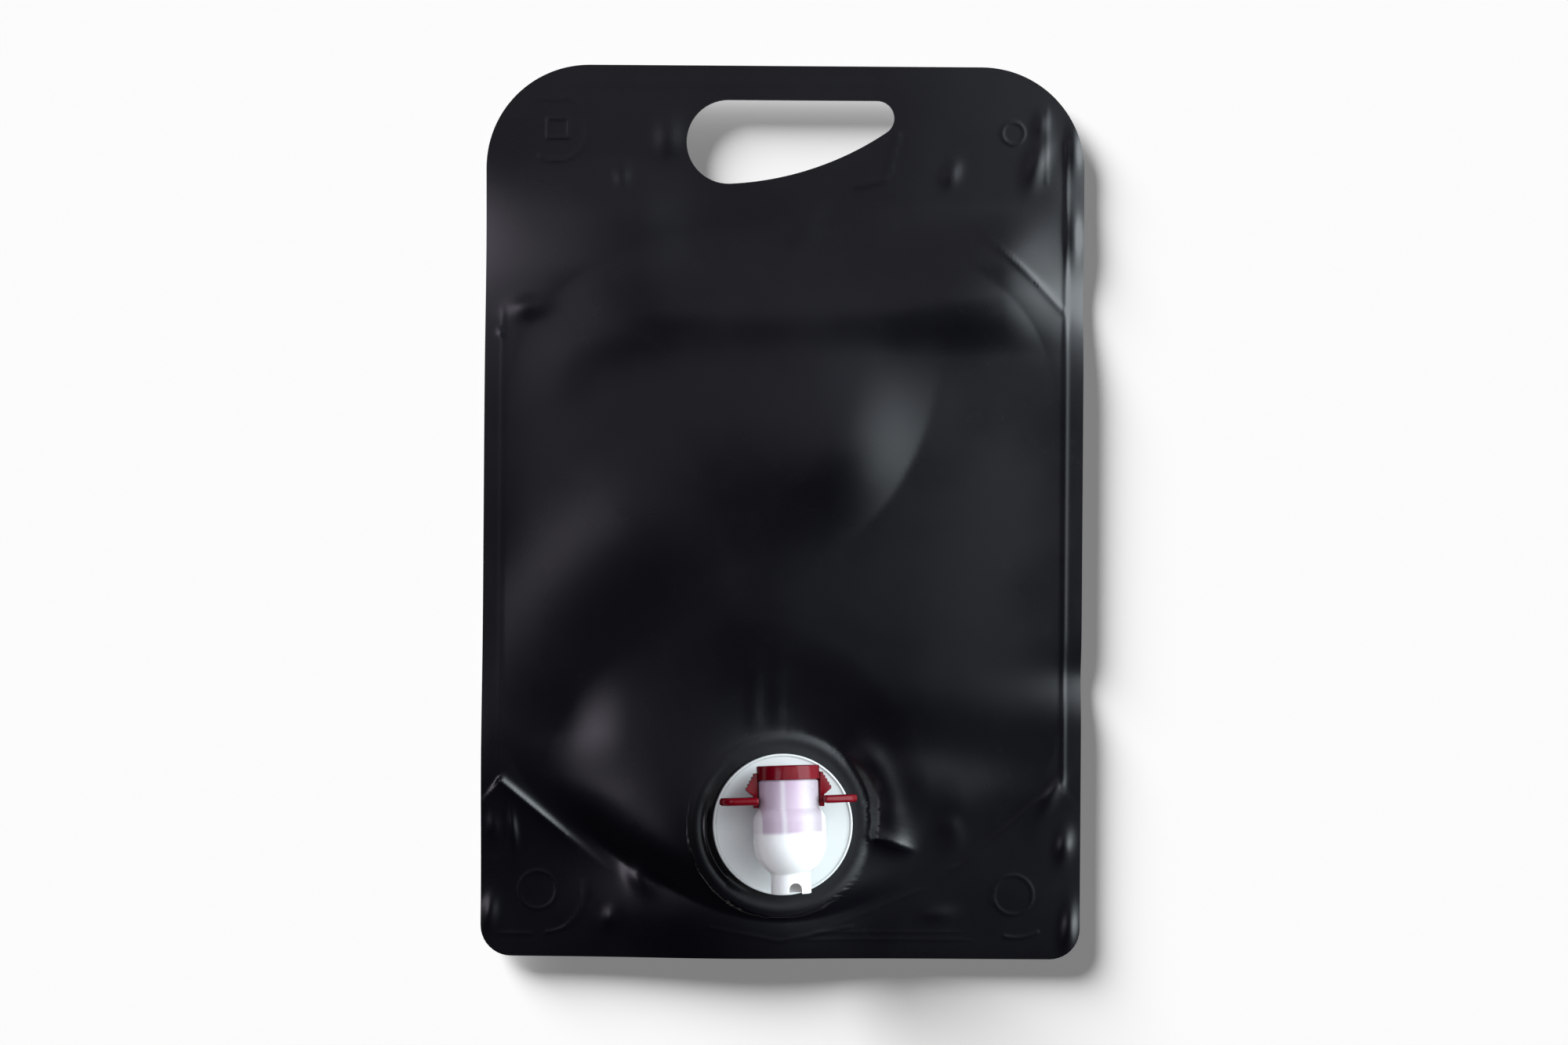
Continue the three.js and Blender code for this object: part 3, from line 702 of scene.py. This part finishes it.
def moulded_group():
    """What all the moulded parts share: a faint flow in the colour, and the mould's fine texture."""
    tree = bpy.data.node_groups.new("moulded_plastic", "ShaderNodeTree")
    colour, number, vector = "NodeSocketColor", "NodeSocketFloat", "NodeSocketVector"
    for name, kind in (("Light", colour), ("Dark", colour), ("Roughness", number)):
        tree.interface.new_socket(name, in_out="INPUT", socket_type=kind)
    for name, kind in (("Color", colour), ("Roughness", number), ("Normal", vector)):
        tree.interface.new_socket(name, in_out="OUTPUT", socket_type=kind)
    nodes = Nodes(tree)
    given = nodes.add("NodeGroupInput").outputs
    made = nodes.add("NodeGroupOutput").inputs
    coords = nodes.add("ShaderNodeTexCoord").outputs["Object"]
    flow = nodes.noise(coords, scale=90.0)
    grain = nodes.noise(coords, scale=2200.0, detail=2.0)
    nodes.link(nodes.mix(flow, given["Dark"], given["Light"]), made["Color"])
    change = nodes.ramp(flow, low=0.3, high=0.7, first=-0.04, last=0.05)
    nodes.link(nodes.math("ADD", given["Roughness"], change), made["Roughness"])
    nodes.link(nodes.bump(grain, strength=0.12, distance=0.00002), made["Normal"])
    return tree


MOULDED = moulded_group()


def plastic_material(name, light, dark, roughness, specular=0.5):
    """A moulded material in its own colours, with its nodes, its shader and its coordinates."""
    material, nodes, shader, coords = new_material(name)
    moulded = nodes.add("ShaderNodeGroup", node_tree=MOULDED)
    moulded.inputs["Light"].default_value = (*light, 1.0)
    moulded.inputs["Dark"].default_value = (*dark, 1.0)
    moulded.inputs["Roughness"].default_value = roughness
    for made, wanted in (("Color", "Base Color"), ("Roughness", "Roughness"), ("Normal", "Normal")):
        nodes.link(moulded.outputs[made], shader.inputs[wanted])
    shader.inputs["Specular IOR Level"].default_value = specular
    return material, nodes, shader, coords


MILKY_LIGHT, MILKY_DARK, PLATE_WHITE = (0.93, 0.95, 0.95), (0.89, 0.91, 0.91), (0.62, 0.65, 0.65)
# the sleeve's mauve, and a darker copy of it for the barrel's right side, which is painted shade
SLEEVE_MAUVE, SLEEVE_PAINTED_SHADE = (0.50, 0.39, 0.50), (0.36, 0.31, 0.36)


def milky_material():
    """Milky plastic: a whiter plate, and a barrel that shows the red sleeve inside it in mauve, with two paler
    lines down it that are painted highlights, and darker towards its right side, which is painted shade.
    """
    material, nodes, shader, coords = plastic_material("milky_plastic", MILKY_LIGHT, MILKY_DARK, 0.24, 0.25)
    offset = nodes.add("ShaderNodeVectorMath", operation="SUBTRACT")
    nodes.link(coords, offset.inputs[0])
    offset.inputs[1].default_value = (TAP_MATRIX @ Vector((0.0, 0.0, BARREL_Z))) * MM

    def along(x, y, z):
        """Millimetres from the barrel's middle along a direction of the tap."""
        dot = nodes.add("ShaderNodeVectorMath", operation="DOT_PRODUCT")
        nodes.link(offset.outputs[0], dot.inputs[0])
        dot.inputs[1].default_value = (TAP_TURN @ Vector((x, y, z))) / MM
        return dot.outputs["Value"]

    def painted_highlight_line(place, low, high, strength):
        """A painted highlight: a paler line down the barrel, at a distance across it."""
        aside = nodes.math("ABSOLUTE", nodes.math("ADD", across, -place))
        return nodes.ramp(aside, low, high, first=strength, last=0.0)

    across, up, out = along(1, 0, 0), along(0, 1, 0), along(0, 0, 1)
    above_edge = nodes.ramp(up, low=-2.7, high=-1.3)
    fading = nodes.ramp(up, low=12.0, high=3.0, first=1.0, last=0.9)
    on_barrel = nodes.ramp(out, low=-9.6, high=-9.2)
    inside = nodes.ramp(nodes.math("ABSOLUTE", across), low=7.9, high=8.5, first=1.0, last=0.28)
    # two paler lines down the barrel, which are painted highlights
    painted_highlight_lines = nodes.math("MAXIMUM", painted_highlight_line(-2.7, 0.0, 1.2, 0.4), painted_highlight_line(3.9, 0.3, 3.2, 0.15))
    sleeve = nodes.math("MULTIPLY", nodes.math("MULTIPLY", above_edge, fading), on_barrel)
    # the sleeve shows less near the barrel's edges, and less along the painted highlights
    seen = nodes.math("MULTIPLY", inside, nodes.math("SUBTRACT", 1.0, painted_highlight_lines))
    plain = shader.inputs["Base Color"].links[0].from_socket
    body = nodes.mix(on_barrel, PLATE_WHITE, plain)
    # the sleeve's colour grows darker towards the barrel's right side: painted shade
    tint_with_painted_shade = nodes.mix(nodes.ramp(across, low=0.5, high=5.5), SLEEVE_MAUVE, SLEEVE_PAINTED_SHADE)
    nodes.link(nodes.mix(nodes.math("MULTIPLY", sleeve, seen), body, tint_with_painted_shade), shader.inputs["Base Color"])
    shader.inputs["Subsurface Weight"].default_value = 0.25
    shader.inputs["Subsurface Radius"].default_value = (1.0, 0.9, 0.9)
    shader.inputs["Subsurface Scale"].default_value = 0.0015
    return material


black_film = film_material()
white_plastic = plastic_material("white_plastic", (0.78, 0.81, 0.81), (0.72, 0.75, 0.75), 0.30)[0]
milky_plastic = milky_material()
red_plastic = plastic_material("red_plastic", (0.155, 0.0006, 0.007), (0.12, 0.0004, 0.005), 0.20, 0.16)[0]
red_elastomer = plastic_material("red_elastomer", (0.26, 0.006, 0.016), (0.19, 0.004, 0.012), 0.48)[0]

# Film bag: the front and the back film, welded together round the edge

# the grid is finest at the side welds, the bottom weld, the marks in the header and the crest beside the plate
right_columns = steps(60, HALF_WIDTH, 0.4)
left_columns = [-x for x in reversed(right_columns)]
front_columns = left_columns + steps(-60, -27, 1.1)[1:] + steps(-27, -15, 0.3) + steps(-15, 60, 1.1)
front_columns += right_columns
front_rows = steps(-HALF_HEIGHT, -98, 0.4)[1:] + steps(-98, -62, 0.75) + steps(-62, 45, 1.3)
front_rows += steps(45, 100, 0.9) + steps(100, 113, 0.45) + steps(113, HALF_HEIGHT, 0.8)
front = film_sheet(front_columns, front_rows, TAP_HOLE)
raise_sheet(front, front_height)
hem(front, SEAL_HALF)
finish_sheet(front, 1.0)
front_film = new_object("front_film", front, material=black_film)
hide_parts("film_bag")

back_columns = steps(-HALF_WIDTH, HALF_WIDTH, 3.0)[1:]
back_rows = steps(-HALF_HEIGHT, HALF_HEIGHT, 3.4)[1:]
back = film_sheet(back_columns, back_rows, tap_hole=None)
raise_sheet(back, back_height)
hem(back, -SEAL_HALF)
finish_sheet(back, -1.0)
back_film = new_object("back_film", back, material=black_film)
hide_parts("film_bag")

# Tap body: plate with a raised rim, conduit, barrel with its bulb, and spout

PLATE_BACK, PLATE_FRONT, PLATE_RADIUS = 2.5, 4.4, 19.5
RIM_TOP = PLATE_FRONT + 0.48
SPIGOT_BORE, SPIGOT_RADIUS = 14.6, 16.1
plate = spun(
    [(0, PLATE_BACK), (PLATE_RADIUS - 0.3, PLATE_BACK), (PLATE_RADIUS, PLATE_BACK + 0.3),
     (PLATE_RADIUS, RIM_TOP - 0.26), (PLATE_RADIUS - 0.08, RIM_TOP - 0.08), (PLATE_RADIUS - 0.25, RIM_TOP),
     (PLATE_RADIUS - 0.5, RIM_TOP - 0.02), (PLATE_RADIUS - 0.64, RIM_TOP - 0.14),
     (PLATE_RADIUS - 0.8, PLATE_FRONT + 0.06), (PLATE_RADIUS - 1.1, PLATE_FRONT), (0, PLATE_FRONT)],
    128,
)
spigot = spun(
    [(SPIGOT_BORE, -4.7), (SPIGOT_RADIUS - 0.5, -4.7), (SPIGOT_RADIUS, -4.2), (SPIGOT_RADIUS, 2.7),
     (SPIGOT_BORE, 2.7)],
    96,
)
conduit = spun([(0, 2.7), (BARREL_RADIUS, 2.7), (BARREL_RADIUS, BARREL_Z), (0, BARREL_Z)], 72)

# the barrel's outline: up the outside from the spout's end, over the bulb, and down the bore
BULB_CENTRE, BULB_RADIUS, BULB_STRAIGHT, BULB_TOP = -4.6, 9.95, 0.8, 4.6
BULB_FOOT, NECK_POWER, NECK_STEPS = -13.2, 2.6, 8
SPOUT_END, SPOUT_BORE, SPOUT_RADIUS = -18.4, 4.7, 5.4
END_NECK_RADIUS, END_BORE = 7.7, 7.2
foot_angle = math.degrees(math.asin((BULB_FOOT - BULB_CENTRE) / BULB_RADIUS))
profile = [(SPOUT_BORE, SPOUT_END), (5.35, SPOUT_END), (5.5, SPOUT_END + 0.15), (SPOUT_RADIUS, -13.4)]
profile += [(max(SPOUT_RADIUS, r), h) for r, h in arc(0.0, BULB_CENTRE, BULB_RADIUS, foot_angle, 0, 14)]
for i in range(NECK_STEPS + 1):
    share = i / NECK_STEPS
    narrowing = (BULB_RADIUS - BARREL_RADIUS - 0.1) * share ** NECK_POWER
    profile.append((BULB_RADIUS - narrowing, BULB_STRAIGHT + (BULB_TOP - BULB_STRAIGHT) * share))
profile += [(BARREL_RADIUS, BULB_TOP + 0.4), (BARREL_RADIUS, 11.9), (BARREL_RADIUS - 0.2, 12.2)]
profile += [(END_NECK_RADIUS, 12.2), (END_NECK_RADIUS, 14.6), (END_BORE, 14.6), (END_BORE, -7.0)]
profile += [(5.2, -9.4), (3.3, -9.4), (3.3, -11.0), (SPOUT_BORE, -11.8)]
barrel = spun(profile, 96, about="barrel")

NOTCH_LEFT, NOTCH_RIGHT, NOTCH_START = -1.3, 2.3, -17.2
notch_middle, notch_radius = (NOTCH_LEFT + NOTCH_RIGHT) / 2, (NOTCH_RIGHT - NOTCH_LEFT) / 2
notch_outline = [(NOTCH_LEFT, SPOUT_END - 1.0), (NOTCH_RIGHT, SPOUT_END - 1.0), (NOTCH_RIGHT, NOTCH_START)]
notch_outline += arc(notch_middle, NOTCH_START, notch_radius, 0, 180, 14)[1:-1] + [(NOTCH_LEFT, NOTCH_START)]
notch = prism(notch_outline, BARREL_Z, BARREL_Z + 8.0)

tap_body = new_object("tap_body_piece", joined(plate, spigot, conduit, barrel), material=milky_plastic)
cut(tap_body, notch)
bm = bmesh.new()
bm.from_mesh(tap_body.data)
on_tap(bm).to_mesh(tap_body.data)
bm.free()
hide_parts("tap_body")

# Wing collar: ring, side plates, finger wings and serrated ribs

RING_OUTSIDE, RING_TOP = 8.6, 16.3
LEG_OUTSIDE, LEG_INSIDE, LEG_LOW, LEG_HIGH = 9.8, 8.45, 4.95, 13.0
WING_REACH, WING_TIP_RADIUS, WING_HALF_THICKNESS, WING_PLACE = 14.3, 4.7, 1.05, 6.9
RIB_REACH, RIB_START, RIB_FALL, RIB_LENGTH, RIB_HALF_THICKNESS, TEETH = 11.75, 9.8, 2.7, 4.6, 1.3, 5

ring = spun(
    [(8.0, 12.5), (RING_OUTSIDE - 0.12, 12.5), (RING_OUTSIDE, 12.62), (RING_OUTSIDE, RING_TOP - 0.3),
     (RING_OUTSIDE - 0.08, RING_TOP - 0.1), (RING_OUTSIDE - 0.3, RING_TOP), (6.75, RING_TOP),
     (6.7, RING_TOP - 0.1), (6.7, 15.6), (8.0, 15.6)],
    96, about="barrel",
)


def side_pieces(mirror):
    """A side plate along the barrel, the finger wing that stands out from it, and the serrated rib above."""
    on_barrel = Matrix.Translation((0, 0, BARREL_Z))
    swap_yz = Matrix(((1, 0, 0, 0), (0, 0, 1, 0), (0, 1, 0, 0), (0, 0, 0, 1)))
    leg_outline = arc(0, 0, LEG_OUTSIDE, -58, 6, 14) + arc(0, 0, LEG_INSIDE, 6, -58, 14)
    leg = bevelled(prism(leg_outline, LEG_LOW, LEG_HIGH), 0.2, 2)
    bmesh.ops.transform(leg, matrix=on_barrel @ swap_yz, verts=leg.verts[:])

    wing_outline = [(9.0, -6.5)] + arc(WING_REACH, 0.0, WING_TIP_RADIUS, -78, 90, 18) + [(9.0, 4.6)]
    wing = bevelled(prism(wing_outline, -WING_HALF_THICKNESS, WING_HALF_THICKNESS), 0.75, 4)
    upright = Matrix.Translation((0, WING_PLACE, BARREL_Z)) @ Matrix.Rotation(math.radians(-90), 4, "X")
    bmesh.ops.transform(wing, matrix=upright, verts=wing.verts[:])

    rib_outline = [(8.7, 7.9), (9.5, 8.0), (RIB_REACH, RIB_START)]
    for i in range(TEETH):
        x0, x1 = RIB_REACH - RIB_FALL * i / TEETH, RIB_REACH - RIB_FALL * (i + 1) / TEETH
        y1 = RIB_START + RIB_LENGTH * (i + 1) / TEETH
        rib_outline += [(x0 - 0.03, y1 - 0.12), (x0 - 0.16, y1 + 0.02), (x1 + 0.1, y1 - 0.22)]
    rib_outline.append((8.7, 14.5))
    rib = bevelled(prism(rib_outline, -RIB_HALF_THICKNESS, RIB_HALF_THICKNESS), 0.12, 2, angle=60.0)
    bmesh.ops.transform(rib, matrix=on_barrel, verts=rib.verts[:])

    side = joined(leg, wing, rib)
    if mirror:
        bmesh.ops.scale(side, vec=(-1, 1, 1), verts=side.verts[:])
    bmesh.ops.recalc_face_normals(side, faces=side.faces[:])
    return side


collar = on_tap(joined(ring, side_pieces(False), side_pieces(True)))
wing_collar = new_object("wing_collar_piece", collar, material=red_plastic)
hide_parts("wing_collar")

# Gland: skirt, flange and neck

GLAND_BORE, NECK_RADIUS, FLANGE_RADIUS = 16.4, 18.2, 24.5
FLANGE_BACK, FLANGE_FRONT = -2.0, -0.8
gland_profile = [(GLAND_BORE, -6.0), (NECK_RADIUS, -6.0), (NECK_RADIUS, FLANGE_BACK)]
gland_profile += [(FLANGE_RADIUS, FLANGE_BACK), (FLANGE_RADIUS, FLANGE_FRONT), (NECK_RADIUS, FLANGE_FRONT)]
gland_profile += [(NECK_RADIUS, 2.1), (16.9, 2.2), (16.5, 1.8)]
gland = new_object("gland_piece", on_tap(spun(gland_profile, 120)), material=white_plastic)
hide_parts("gland")

# The remaining nodes keep the solids' own shapes

for node, material in (
    ("diaphragm", red_elastomer), ("push_button", red_elastomer),
    ("valve_stem", white_plastic), ("valve_seal", red_elastomer),
):
    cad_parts[node].material_slots[0].material = material

# Floor, which shows white to the camera and keeps the pouch's shadow

FLOOR_HALF = 3.0
FLOOR_DROP = 0.0002
FLOOR_LIFT = 0.20
floor_bm = bmesh.new()
bmesh.ops.create_grid(floor_bm, x_segments=2, y_segments=2, size=FLOOR_HALF)
floor_mesh = bpy.data.meshes.new("floor")
floor_bm.to_mesh(floor_mesh)
floor_bm.free()
floor = bpy.data.objects.new("floor", floor_mesh)
floor.location.z = -FLOOR_DROP
bpy.context.collection.objects.link(floor)
paper = bpy.data.materials.new("floor")
paper.use_nodes = True
paper_nodes = Nodes(paper.node_tree)
paper_shader = next(n for n in paper.node_tree.nodes if n.type == "BSDF_PRINCIPLED")
paper_shader.inputs["Base Color"].default_value = (0.9, 0.9, 0.9, 1.0)
paper_shader.inputs["Roughness"].default_value = 0.9
paper_shader.inputs["Specular IOR Level"].default_value = 0.0
paper_shader.inputs["Emission Color"].default_value = (1.0, 1.0, 1.0, 1.0)
rays = paper_nodes.add("ShaderNodeLightPath").outputs
seen = paper_nodes.math("MAXIMUM", rays["Is Camera Ray"], rays["Is Glossy Ray"])
seen = paper_nodes.math("MAXIMUM", seen, rays["Is Transmission Ray"])
paper_nodes.link(paper_nodes.math("MULTIPLY", seen, FLOOR_LIFT), paper_shader.inputs["Emission Strength"])
floor_mesh.materials.append(paper)

# Light

world = bpy.data.worlds.new("world")
bpy.context.scene.world = world
world.use_nodes = True
background = next(n for n in world.node_tree.nodes if n.type == "BACKGROUND")
background.inputs["Color"].default_value = (0.86, 0.88, 1.0, 1.0)
background.inputs["Strength"].default_value = 0.012

bpy.context.scene.view_settings.view_transform = "Standard"

# What each light reaches: the tap alone, the floor alone, or everything but the floor

on_tap_only = bpy.data.collections.new("lit_tap")
for piece in (tap_body, wing_collar, gland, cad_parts["push_button"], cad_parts["diaphragm"]):
    on_tap_only.objects.link(piece)
on_floor = bpy.data.collections.new("lit_floor")
on_floor.objects.link(floor)
off_floor = bpy.data.collections.new("lit_object")
off_floor.objects.link(floor)
for member in off_floor.collection_objects:
    member.light_linking.link_state = "EXCLUDE"


def area_light(name, place, target, size, radiance, colour, linked):
    """A soft panel whose brightness is given as radiance, so that its size can change on its own."""
    data = bpy.data.lights.new(name, "AREA")
    data.shape = "RECTANGLE"
    data.size, data.size_y = size
    data.energy = radiance * math.pi * size[0] * size[1]
    data.color = colour
    light = bpy.data.objects.new(name, data)
    light.location = place
    light.rotation_euler = (Vector(target) - Vector(place)).to_track_quat("-Z", "Y").to_euler()
    bpy.context.collection.objects.link(light)
    light.light_linking.receiver_collection = linked


area_light("window", place=(0.95, 0.22, 0.50), target=(0.0, 0.0, 0.05), size=(1.3, 0.95),
           radiance=7.0, colour=(0.88, 0.96, 1.0), linked=off_floor)
area_light("window_top", place=(0.72, 0.20, 1.05), target=(0.0, 0.0, 0.0), size=(0.9, 0.62),
           radiance=2.0, colour=(0.85, 0.95, 1.0), linked=off_floor)
area_light("softbox", place=(-0.86, 0.15, 1.15), target=(0.0, 0.0, 0.0), size=(0.6, 0.5),
           radiance=3.6, colour=(0.92, 0.86, 1.0), linked=off_floor)
area_light("upper", place=(0.0, 0.64, 1.3), target=(0.0, 0.0, 0.0), size=(2.0, 1.1),
           radiance=0.30, colour=(0.86, 0.86, 1.0), linked=off_floor)
area_light("tap_fill", place=(0.05, 0.1, 1.1), target=(0.0, -0.087, 0.0), size=(0.8, 0.8),
           radiance=1.8, colour=(1.0, 1.0, 1.0), linked=on_tap_only)

KEY_DIRECTION = (0.66, -0.72, -0.40)
sun = bpy.data.lights.new("floor_key", "SUN")
sun.energy = 7.0
sun.angle = math.radians(30)
key = bpy.data.objects.new("floor_key", sun)
key.rotation_euler = Vector(KEY_DIRECTION).to_track_quat("-Z", "Y").to_euler()
bpy.context.collection.objects.link(key)
key.light_linking.receiver_collection = on_floor
